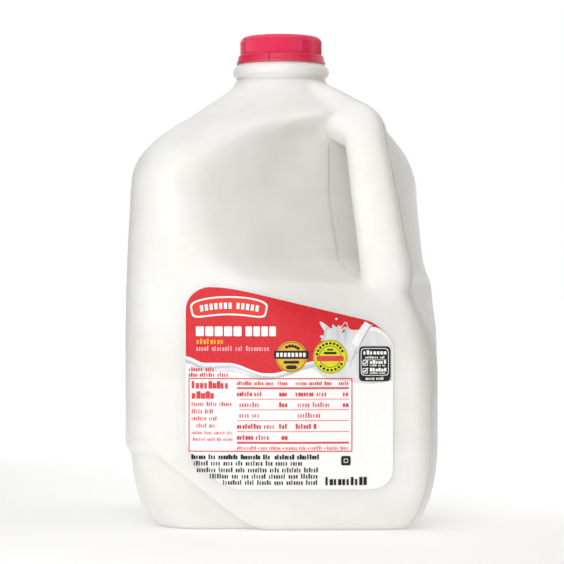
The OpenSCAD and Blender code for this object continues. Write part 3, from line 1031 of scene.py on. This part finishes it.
@dataclass
class Label:
    """The shaped film label with its printed fields, on the face beside the handle corner.

    Sizes are in millimetres, and layer_t parts one ink's layer from the next. The print is laid out in
    millimetres from the label's lower left corner: s runs sideways and h up, or down from the label's top
    where it is taken from the height.
    """

    form: BottleForm
    low_z: float
    high_z: float
    width: float = 98.0
    mid_v: float = 4.0
    cut: tuple[float, float] = (25.0, 24.0)
    corner_r: float = 9.5
    shoulder: tuple[float, float] = (12.0, 11.0)
    top_flat: float = 19.0
    top_drop: float = 0.238
    film_t: float = 0.4
    layer_t: float = 0.025

    @property
    def height(self) -> float:
        """Height of the label at its tall side."""
        return self.high_z - self.low_z

    def top(self, s: Array) -> Array:
        """Upper edge: a quarter ellipse at the left, a flat, a soft bend, a straight fall, a round end."""
        w, d = self.shoulder
        t = np.clip(1.0 - s / w, 0.0, 1.0)
        fall = self.top_drop * np.logaddexp(0.0, (s - self.top_flat) / 4.0) * 4.0
        end = 0.045 * np.clip(s - 85.0, 0.0, None) ** 2
        return self.height - d * (1.0 - np.sqrt(1.0 - t * t)) - fall - end

    def bottom(self, s: Array) -> Array:
        """Lower edge: a long rounded cut at the left, level, and a round at the right."""
        w, d = self.cut
        t = np.clip(1.0 - s / w, 0.0, 1.0)
        r = self.corner_r
        q = np.clip((s - self.width + r) / r, 0.0, 1.0)
        return d * (1.0 - (1.0 - t ** 1.5) ** (1.0 / 1.5)) + r * (1.0 - np.sqrt(1.0 - q * q))

    def place(self, points: Array) -> Array:
        """Turns label places into the bottle's frame.

        Args:
            points: sideways place, height and distance off the wall, in millimetres.

        Returns:
            X, Y and Z in millimetres.
        """
        s, h, off = points.T
        v, z = s + self.mid_v - self.width / 2.0, h + self.low_z
        u = self.form.face_out(v, z) + off
        return np.stack([*from_face(u, v), z], axis=-1)

    def film(self) -> bpy.types.Object:
        """The label's film: a closed sheet whose back reaches just into the wall."""
        s = self.width * 0.5 * (1.0 - np.cos(math.pi * np.linspace(0.0, 1.0, 121)))[None, :]
        t = np.linspace(0.0, 1.0, 81)[:, None]
        h = self.bottom(s) + (self.top(s) - self.bottom(s)) * t
        flat = np.stack([s + 0.0 * h, h], axis=-1)
        work = Patchwork()
        sides = []
        for off, flip in ((self.film_t, False), (-0.5, True)):
            grid = np.concatenate([flat, np.full(flat.shape[:2] + (1,), off)], axis=-1)
            sides.append(work.grid(grid, flip=flip))
        work.sheet_rim(*sides)
        work.points = [self.place(p) for p in work.points]
        return work.piece("label_film")

    def red_low(self, s: Array) -> Array:
        """Lower edge of the red field: a falling wave that rises again at the right."""
        rise = 5.8 * soft_step((s - 40.0) / 22.0)
        return self.height - 33.0 - 3.0 * soft_step(s / 9.0) - 4.9 * soft_step((s - 20.0) / 18.0) + rise

    def fields(self) -> dict[Ink, InkSheet]:
        """The broad fields: red ground, grey milk with its splash and pour, and the wave under the red."""
        red, milk = InkSheet(Ink.RED, 1), InkSheet(Ink.MILK_GREY, 2)
        shade, white = InkSheet(Ink.MILK_SHADE, 3), InkSheet(Ink.WHITE, 4)
        s = 66.0 * 0.5 * (1.0 - np.cos(math.pi * np.linspace(0.0, 1.0, 101)))
        red.band(s, self.red_low(s), self.top(s), 31)
        s = np.linspace(66.0, 95.0, 61)
        red.band(s, self.top(s) - 11.5 * (1.0 - soft_step((s - 70.0) / 25.0)), self.top(s))
        s = np.linspace(59.0, self.width - 0.4, 81)
        brim = self.top(s) - 7.6 * (1.0 - soft_step((s - 74.0) / 24.0)) - 1.2
        under = 51.0 + 7.4 * soft_step((69.0 - s) / 11.0) + 0.8 * np.sin(s / 5.0)
        milk.band(s, under, np.minimum(brim, under + 60.0 * soft_step((s - 58.0) / 24.0)))
        s = np.linspace(0.0, 62.0, 121)
        wave = self.red_low(s)
        milk.band(s, wave - 3.4 - 0.9 * np.sin(s / 11.0), wave, 6)
        shade.band(s, wave - 2.3 - 0.7 * np.sin(s / 8.0 + 1.0), wave - 1.5 - 0.25 * np.sin(s / 6.0), 4)
        white.band(s, wave - 1.0 - 0.25 * np.sin(s / 5.0), wave + 0.1, 4)
        turn = np.linspace(0.0, 2.0 * math.pi, 240, endpoint=False)
        reach = np.full_like(turn, 8.6)
        for at, tall, wide in ((132.0, 6.4, 7.0), (112.0, 2.0, 5.0), (78.0, 2.6, 8.0), (34.0, 3.0, 14.0),
                               (156.0, 2.4, 5.0), (178.0, 1.6, 6.0), (214.0, 4.6, 16.0), (97.0, 1.0, 4.0)):
            reach += tall * np.exp(-((np.degrees(turn) - at) / wide) ** 2)
        milk.blob(73.4, self.height - 27.6, (reach * np.cos(turn), reach * np.sin(turn)))
        high = self.height
        for start, end, wide, bow in (((65.5, -26.5), (67.0, -19.0), (0.4, 1.3), 0.7),
                                      ((70.6, -28.0), (71.6, -20.6), (0.5, 1.2), -0.6),
                                      ((75.4, -27.0), (76.2, -19.4), (0.5, 1.6), 0.5),
                                      ((79.4, -31.0), (84.0, -22.0), (0.5, 1.5), -0.9),
                                      ((77.6, -38.0), (81.0, -30.5), (0.5, 1.2), 0.6)):
            shade.stroke((start[0], high + start[1]), (end[0], high + end[1]), wide, bow)
        shade.stroke((88.0, high - 18.0), (81.6, high - 28.2), (1.0, 1.7), -0.4)
        white.stroke((86.2, high - 17.2), (79.8, high - 27.6), (3.0, 3.8), -0.4)
        white.disc(71.2, high - 15.2, 0.5)
        white.disc(64.2, high - 25.2, 0.35)
        return {sheet.ink: sheet for sheet in (red, milk, shade, white)}

    def badge(self, sheets: dict[Ink, InkSheet], top: InkSheet) -> None:
        """Arched banner in the upper left: a white outline, an orange-red ground and plain blocks."""
        mid_s, mid_h, bend_r = 20.4, self.height - 8.9, 66.0

        def arch(x: Array, y: Array) -> tuple[Array, Array]:
            """Bends a place of the banner along its arch and draws its lower side in."""
            return mid_s + x * (1.0 + 0.012 * y), mid_h + y - x * x / (2.0 * bend_r)
        share = np.linspace(0.001, 1.0, 7)[:, None]
        for ink, a, b in ((Ink.WHITE, 18.0, 4.5), (Ink.BADGE, 17.2, 3.7)):
            x, y = rounded_outline(a, b, 4.6, 144)
            sheets[ink].grid(*arch(share * x, share * y), around=True)
        for left in (*np.arange(-13.6, 1.0, 2.25), *np.arange(3.6, 13.6, 2.25)):
            top.grid(*arch(*np.meshgrid(np.array([left, left + 1.45]), np.array([-1.45, 1.45]))))

    def title(self, sheets: dict[Ink, InkSheet], top: InkSheet, rng: np.random.Generator) -> None:
        """Two bold groups of white blocks, an amber row and a pale pink row under them."""
        high = self.height
        at = 4.8
        for count, wide in ((5, 3.8), (4, 3.1)):
            for _ in range(count):
                top.block(at, at + wide, high - 23.3, high - 18.7, 9.0)
                at += wide + 0.65
            at += 1.2
        sheets[Ink.AMBER].row(5.0, 18.2, high - 25.7, 2.6, rng, 0.58, 0.66)
        sheets[Ink.PINK].row(5.0, 39.6, high - 29.1, 2.3, rng)

    def seals(self, sheets: dict[Ink, InkSheet]) -> None:
        """Two round seals with plain rings, bands and blocks."""
        black, gold, lime = sheets[Ink.BLACK], sheets[Ink.GOLD], sheets[Ink.LIME]
        h = self.height - 33.0
        s = 49.9
        gold.disc(s, h, 7.4)
        black.disc(s, h, 7.0, 6.75)
        for turn in np.radians(np.arange(52.0, 132.0, 16.0)):
            black.disc(s + 5.1 * math.cos(turn), h + 5.1 * math.sin(turn), 0.75)
        black.block(s - 8.2, s + 8.2, h - 1.0, h + 2.9, 9.0)
        for i in range(8):
            sheets[Ink.FILM].bar(s - 7.1 + 1.8 * i, s - 5.9 + 1.8 * i, h, h + 1.9)
        black.bar(s - 3.6, s + 3.6, h - 3.2, h - 1.9)
        black.block(s - 2.6, s + 2.6, h - 5.9, h - 4.0, 3.0)
        s = 68.2
        lime.disc(s, h, 8.0)
        black.disc(s, h, 5.2, 4.95)
        black.disc(s, h, 7.75, 7.55)
        for turn in np.radians(np.concatenate([np.arange(25.0, 170.0, 16.0), np.arange(225.0, 330.0, 17.0)])):
            black.disc(s + 6.35 * math.cos(turn), h + 6.35 * math.sin(turn), 0.62)
        black.bar(s - 1.4, s + 1.4, h + 2.9, h + 3.7)
        black.bar(s - 3.0, s + 3.0, h + 1.2, h + 2.3)
        sheets[Ink.LINE_RED].block(s - 6.4, s + 6.4, h - 2.1, h + 0.4, 9.0)

    def panel(self, black: InkSheet, white: InkSheet, rng: np.random.Generator) -> None:
        """Black rounded panel at the right, with rows of blocks and two boxes in it."""
        left, right, low, high = 81.8, 96.8, 51.3, 67.9
        black.block(left, right, low, high, 9.0)
        white.block(left + 0.9, right - 0.9, low + 2.7, high - 0.9, 9.0, 0.28)
        white.row(left + 2.1, right - 1.6, high - 2.9, 2.0, rng, 0.8, 0.74)
        white.row(left + 3.0, right - 2.6, high - 5.2, 1.1, rng, 0.7, 0.62)
        white.bar(left + 2.0, right - 2.0, high - 6.5, high - 6.3)
        for at in (high - 9.2, high - 12.8):
            white.block(left + 1.7, left + 4.2, at, at + 2.5, 8.0, 0.3)
            white.stroke((left + 2.1, at + 1.3), (left + 2.8, at + 0.7), (0.5, 0.5))
            white.stroke((left + 2.7, at + 0.7), (left + 4.3, at + 2.6), (0.5, 0.5))
            white.row(left + 5.2, right - 1.8, at + 1.75, 1.7, rng, 0.74, 0.7)
            white.row(left + 5.2, right - 2.4, at + 0.2, 0.9, rng)
        white.row(left + 3.2, right - 3.2, low + 1.4, 1.3, rng)

    def facts_table(self, ink: InkSheet, rng: np.random.Generator) -> None:
        """Red-lined table: an outline, two heavy rules, four light rules and rows of blocks."""
        ink.frame(1.3, 78.7, 18.1, 52.9, 0.45)
        left, right = 24.2, 77.0
        for at, half in ((48.2, 0.40), (22.4, 0.42)):
            ink.bar(left, right, at - half, at + half)
        for at, start in ((43.0, 25.4), (38.0, 25.4), (32.9, left), (27.7, left)):
            ink.bar(start, right, at - 0.13, at + 0.13)
        ink.row(2.8, 20.6, 49.7, 3.5, rng, 0.56, 0.74)
        ink.row(2.8, 13.8, 44.9, 3.5, rng, 0.56, 0.74)
        for at, start, end in ((40.7, 2.8, 22.0), (37.2, 2.8, 13.4), (33.9, 2.8, 15.0), (30.5, 5.0, 14.2)):
            ink.row(start, end, at, 2.1, rng, 0.46, 0.5)
        for at, start in ((27.1, 2.8), (24.0, 3.4)):
            ink.row(start, 22.4, at, 1.6, rng, 0.46, 0.46)
        for start, end in ((24.2, 41.4), (43.7, 48.3), (51.9, 69.1), (72.3, 77.0)):
            ink.row(start, end, 50.5, 1.8, rng, 0.5, 0.6)
        rows = ((45.5, ((24.2, 31.4), (44.1, 48.3), (51.9, 60.8), (74.2, 77.0)),
                 ((32.4, 36.3), (61.8, 66.8))),
                (40.4, ((44.1, 48.3), (74.2, 77.0)), ((25.4, 35.2), (52.9, 68.3))),
                (35.4, (), ((25.4, 35.2), (52.9, 63.9))),
                (30.2, ((24.2, 36.0), (44.1, 48.3), (51.9, 59.4)), ((37.0, 42.4), (60.4, 62.6))),
                (25.0, ((24.2, 32.2), (45.2, 48.3)), ((33.2, 39.7),)))
        for at, bold, plain in rows:
            for start, end in bold:
                ink.row(start, end, at, 2.3, rng, 0.52, 0.72)
            for start, end in plain:
                ink.row(start, end, at, 2.3, rng, 0.5, 0.46)
        for start, end in ((24.2, 33.4), (35.6, 45.0), (47.2, 56.8), (58.9, 64.6), (66.8, 77.0)):
            ink.row(start, end, 19.9, 1.7, rng, 0.46, 0.46)
        for at in (34.5, 46.1, 57.9, 65.7):
            ink.disc(at, 19.8, 0.38)

    def small_print(self, ink: InkSheet, rng: np.random.Generator) -> None:
        """Black rows under the table, whose left ends follow the cut corner, and two marks at the right."""
        rows = ((15.7, 2.6, 40.0, 0.72), (15.7, 42.0, 63.2, 0.72), (12.7, 3.7, 55.4, 0.54),
                (9.5, 5.2, 62.8, 0.52), (6.5, 11.3, 62.6, 0.52), (3.5, 17.6, 62.6, 0.52))
        for at, start, end, weight in rows:
            ink.row(start, end, at, 2.3, rng, 0.5, weight)
        ink.block(73.4, 77.9, 11.6, 16.1, 6.0, 1.2)
        ink.disc(75.65, 13.85, 0.7)
        ink.row(66.0, 86.0, 4.1, 3.9, rng, 0.5, 0.66)

    def build(self) -> None:
        """Makes and dresses the film and one sheet for each ink."""
        rng = np.random.default_rng(7)
        dress(self.film(), Ink.FILM.value.material(), "label_film", "label")
        sheets = self.fields()
        marks = (Ink.BADGE, Ink.PINK, Ink.AMBER, Ink.GOLD, Ink.LIME, Ink.BLACK, Ink.LINE_RED, Ink.FILM)
        for order, ink in enumerate(marks, start=5):
            sheets[ink] = InkSheet(ink, order)
        top = sheets[Ink.FILM]
        self.badge(sheets, top)
        self.title(sheets, top, rng)
        self.seals(sheets)
        self.panel(sheets[Ink.BLACK], top, rng)
        sheets[Ink.LINE_RED].row(1.4, 13.8, 57.1, 2.0, rng)
        sheets[Ink.LINE_RED].row(1.4, 20.3, 54.5, 2.0, rng)
        self.facts_table(sheets[Ink.LINE_RED], rng)
        self.small_print(sheets[Ink.BLACK], rng)
        for sheet in sheets.values():
            points = np.concatenate(sheet.work.points)
            points[:, 2] = self.film_t + self.layer_t * points[:, 2]
            sheet.work.points = [self.place(points)]
            piece = sheet.work.piece("print_" + sheet.ink.name.lower())
            dress(piece, sheet.ink.value.material(), "label_film")


# ---------------------------------------------------------------- the studio


@dataclass(frozen=True)
class Flag:
    """A dark panel beside the jug, out of the camera's sight: metres to the right of the axis, its near and
    far ends in metres towards the camera, and its colour."""

    name: str
    right: float
    near: float
    far: float
    colour: str


@dataclass
class Studio:
    """Pale floor, dark flags beside the jug that shade its edges, soft light and the camera.

    Lengths are in metres and lights in watts.
    """

    look_at: tuple[float, float, float] = (0.0, 0.0, 0.1166)
    distance: float = 1.103
    azimuth: float = math.radians(45.0)
    lens: float = 138.7
    shift: tuple[float, float] = (0.00177, 0.00887)
    sky: float = 1.0
    key_at: tuple[float, float, float] = (-0.46, 1.60, 0.78)
    key_size: float = 0.7
    key_w: float = 5.2
    fill_at: tuple[float, float, float] = (-0.1, 1.25, 0.06)
    fill_size: float = 0.5
    fill_w: float = 1.5
    floor_glow: float = 0.22
    floor_half: float = 14.0
    flag_low: float = 0.03
    flag_high: float = 0.46
    flags: tuple[Flag, ...] = (Flag("flag_right", 0.235, 0.76, -0.02, "#54452f"),
                               Flag("flag_left", -0.28, 0.12, -0.40, "#5e5c57"))

    def aside(self, right: float, toward: float, z: float) -> Vector:
        """A place given by metres to the camera's right, metres towards it, and height."""
        c, s = math.cos(self.azimuth), math.sin(self.azimuth)
        return Vector((right * c + toward * s, right * s - toward * c, z))

    def camera(self) -> None:
        """Level camera at the handle corner's left, looking at the label face."""
        data = bpy.data.cameras.new("camera")
        data.lens, data.sensor_width = self.lens, 36.0
        data.shift_x, data.shift_y = self.shift
        made = placed("camera", data)
        made.location = self.aside(0.0, self.distance, self.look_at[2])
        made.rotation_euler = (QUARTER, 0.0, self.azimuth)
        bpy.context.scene.camera = made

    def matt(self, name: str, colour: str, glow: float = 0.0) -> bpy.types.Material:
        """Matt paint with a faint unevenness, and a glow of its own for a floor lit from below."""
        shader = Shader(name)
        noise = shader.node("ShaderNodeTexNoise", {"Vector": shader.place, "Scale": 3.0})
        return shader.surface(linear(colour), shader.ranged(noise.outputs["Fac"], 0.75, 0.9), {
            "Specular IOR Level": 0.2, "Emission Color": (1.0, 1.0, 1.0, 1.0), "Emission Strength": glow})

    def sheet(self, name: str, corners: Sequence[Vector], colour: str,
              glow: float = 0.0) -> bpy.types.Object:
        """A plain stage panel through four corners."""
        mesh = bpy.data.meshes.new(name)
        mesh.from_pydata([tuple(c) for c in corners], [], [(0, 1, 2, 3)])
        made = placed(name, mesh)
        made.data.materials.append(self.matt(name, colour, glow))
        return made

    def light(self, name: str, at: Vector, size: float, watts: float) -> None:
        """A soft white square light aimed at the jug's middle."""
        data = bpy.data.lights.new(name, "AREA")
        data.shape, data.size, data.energy = "SQUARE", size, watts
        made = placed(name, data)
        made.location = at
        made.rotation_euler = (Vector(self.look_at) - at).to_track_quat("-Z", "Y").to_euler()

    def build(self) -> None:
        """Makes the floor, the flags, the lights, the sky and the camera."""
        scene = bpy.context.scene
        scene.view_settings.view_transform = "Standard"
        scene.view_settings.look = "None"
        half = self.floor_half
        corners = [Vector((x * half, y * half, 0.0)) for x, y in ((-1, -1), (1, -1), (1, 1), (-1, 1))]
        self.sheet("floor", corners, "#f7f7f7", self.floor_glow)
        for flag in self.flags:
            edges = ((flag.near, self.flag_low), (flag.far, self.flag_low),
                     (flag.far, self.flag_high), (flag.near, self.flag_high))
            panel = self.sheet(flag.name, [self.aside(flag.right, t, z) for t, z in edges], flag.colour)
            panel.visible_camera = False
        world = bpy.data.worlds.new("studio")
        scene.world = world
        world.use_nodes = True
        sky = world.node_tree.nodes["Background"]
        sky.inputs["Color"].default_value = (1.0, 1.0, 1.0, 1.0)
        sky.inputs["Strength"].default_value = self.sky
        self.light("key", self.aside(*self.key_at), self.key_size, self.key_w)
        self.light("fill", self.aside(*self.fill_at), self.fill_size, self.fill_w)
        self.camera()


def main() -> None:
    """Builds the jug's sub-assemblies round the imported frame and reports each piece."""
    logging.basicConfig(level=logging.INFO, format="%(name)s: %(message)s")
    jug_low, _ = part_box("jug")
    cap_low, cap_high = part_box("cap")
    label_low, label_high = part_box("label")
    neck_top = cap_low.z / MM
    body_w = ROOT2 * (-jug_low.x / MM + (ROOT2 - 1.0) * SEAM_R)
    form = BottleForm(body_w=body_w, shoulder_z=neck_top - NECK_H)
    Bottle(form, MilkyPolyethylene(fill_z=form.shoulder_z - FILL_BELOW_SHOULDER), neck_top).build()
    Cap(neck_top, cap_high.z / MM, (cap_high.x - cap_low.x) / 2.0 / MM).build()
    Label(form, label_low.z / MM, label_high.z / MM).build()
    Studio().build()


if __name__ == "__main__":
    main()
